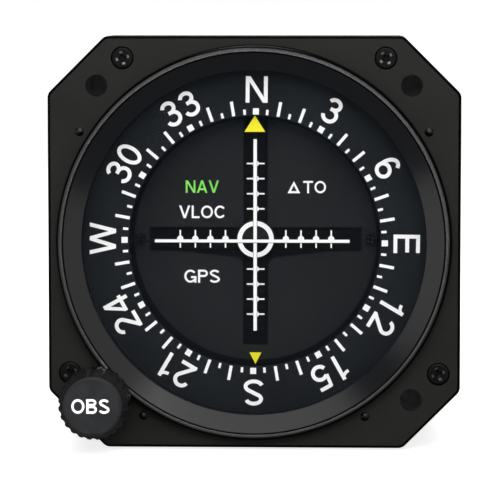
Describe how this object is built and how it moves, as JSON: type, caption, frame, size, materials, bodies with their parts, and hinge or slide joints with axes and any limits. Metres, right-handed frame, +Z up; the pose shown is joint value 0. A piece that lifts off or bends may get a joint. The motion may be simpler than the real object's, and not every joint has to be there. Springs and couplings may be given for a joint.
{
  "type": "course deviation indicator",
  "caption": "Square-flanged panel instrument: rotating compass card, fixed mask, two swinging needles and a course knob geared to the card, with a closed rear case.",
  "frame": {"origin": "the dial's axis on the front face of the flange, which rests against the back of the panel", "axes": "+X right and +Z up as the pilot sees it, +Y back into the panel"},
  "size_m": [0.0826, 0.118, 0.0826],
  "materials": {
    "black_casting": "matte black baked enamel",
    "black_screw": "black oxide",
    "pin_steel": "blackened",
    "lens": "clear",
    "gasket_rubber": "matte",
    "black_anodised": "black anodised",
    "dial_black": "flat black lacquer",
    "gear_brass": "machined",
    "bearing_bronze": "sintered",
    "nylon": "natural",
    "knob_plastic": "moulded",
    "steel": "ground",
    "index_yellow": "fluorescent lacquer",
    "needle_white": "white lacquer",
    "plate_aluminium": "chromate",
    "coil_copper": "enamelled winding",
    "magnet": "ground",
    "housing_plastic": "white",
    "circuit_board": "solder resist",
    "component_black": "moulded",
    "case_black": "black anodised",
    "connector_tin": "tin plated",
    "insert_plastic": "moulded"
  },
  "bodies": {
    "housing": {"annunciator_housing": "housing_plastic", "bezel": "black_casting", "bezel_pins": "pin_steel", "bezel_screws": "black_screw", "board_components": "component_black", "card_bearing_ring": "bearing_bronze", "card_thrust_pads": "nylon", "case": "case_black", "cdi_bracket": "plate_aluminium", "cdi_hairspring": "bearing_bronze", "connector_insert": "insert_plastic", "connector_jackposts": "steel", "connector_shell": "connector_tin", "course_index": "index_yellow", "dial_mask": "dial_black", "frame_screws": "steel", "frame_spacers": "plate_aluminium", "gear_plate": "plate_aluminium", "gs_bracket": "plate_aluminium", "gs_hairspring": "bearing_bronze", "index_bridge": "dial_black", "lamp_board": "circuit_board", "lens_gasket": "gasket_rubber", "lens_glass": "lens", "lens_retaining_ring": "black_anodised", "main_board": "circuit_board", "mask_screws": "black_screw", "mid_plate": "plate_aluminium", "movement_cores": "magnet", "movement_yokes": "magnet", "obs_bushing": "bearing_bronze", "rear_cover": "case_black", "rear_cover_screws": "black_screw", "rear_plate": "plate_aluminium", "reciprocal_index": "index_yellow", "resolver_body": "steel", "resolver_clamps": "steel", "tie_rods": "steel"},
    "card": {"compass_card": "dial_black", "card_gear_ring": "gear_brass"},
    "course_knob": {"obs_knob": "knob_plastic", "obs_knob_set_screws": "steel", "obs_shaft": "steel", "obs_retaining_clip": "steel", "obs_pinion": "gear_brass"},
    "reverser": {"reversing_pinion": "gear_brass"},
    "idler": {"idler_gear": "gear_brass", "idler_arbor": "steel"},
    "resolver": {"resolver_shaft": "steel", "resolver_gear": "gear_brass"},
    "gs_needle": {"gs_needle_bar": "needle_white", "gs_arm": "black_anodised", "gs_staff": "steel", "gs_coil": "coil_copper", "gs_balance_weight": "gear_brass"},
    "cdi_needle": {"cdi_needle_bar": "needle_white", "cdi_arm": "black_anodised", "cdi_staff": "steel", "cdi_coil": "coil_copper", "cdi_balance_weight": "gear_brass"}
  },
  "joints": [
    {"name": "card_spin", "type": "hinge", "parent": "housing", "child": "card", "pos_m": [0, 0.0055, 0], "axis": [0, 1, 0], "continuous": true},
    {"name": "knob_spin", "type": "hinge", "parent": "housing", "child": "course_knob", "pos_m": [-0.03143, 0, -0.03143], "axis": [0, 1, 0], "continuous": true},
    {"name": "reverser_spin", "type": "hinge", "parent": "housing", "child": "reverser", "pos_m": [-0.02202, 0.009, -0.03327], "axis": [0, 1, 0], "continuous": true},
    {"name": "idler_spin", "type": "hinge", "parent": "housing", "child": "idler", "pos_m": [-0.02506, 0.0105, -0.02385], "axis": [0, 1, 0], "continuous": true},
    {"name": "resolver_spin", "type": "hinge", "parent": "housing", "child": "resolver", "pos_m": [-0.00889, 0.02, -0.01045], "axis": [0, 1, 0], "continuous": true},
    {"name": "gs_swing", "type": "hinge", "parent": "housing", "child": "gs_needle", "pos_m": [0.014, 0.057, 0], "axis": [1, 0, 0], "range_deg": [-17, 17], "stiffness_Nm_per_rad": 0.0012},
    {"name": "cdi_swing", "type": "hinge", "parent": "housing", "child": "cdi_needle", "pos_m": [0, 0.0814, 0], "axis": [0, 0, 1], "range_deg": [-12, 12], "stiffness_Nm_per_rad": 0.0008}
  ],
  "couplings": [
    {"joint": "reverser_spin", "follows": "card_spin", "ratio": -9.2308},
    {"joint": "idler_spin", "follows": "card_spin", "ratio": 6},
    {"joint": "knob_spin", "follows": "card_spin", "ratio": -9.2308},
    {"joint": "resolver_spin", "follows": "card_spin", "ratio": -1}
  ]
}
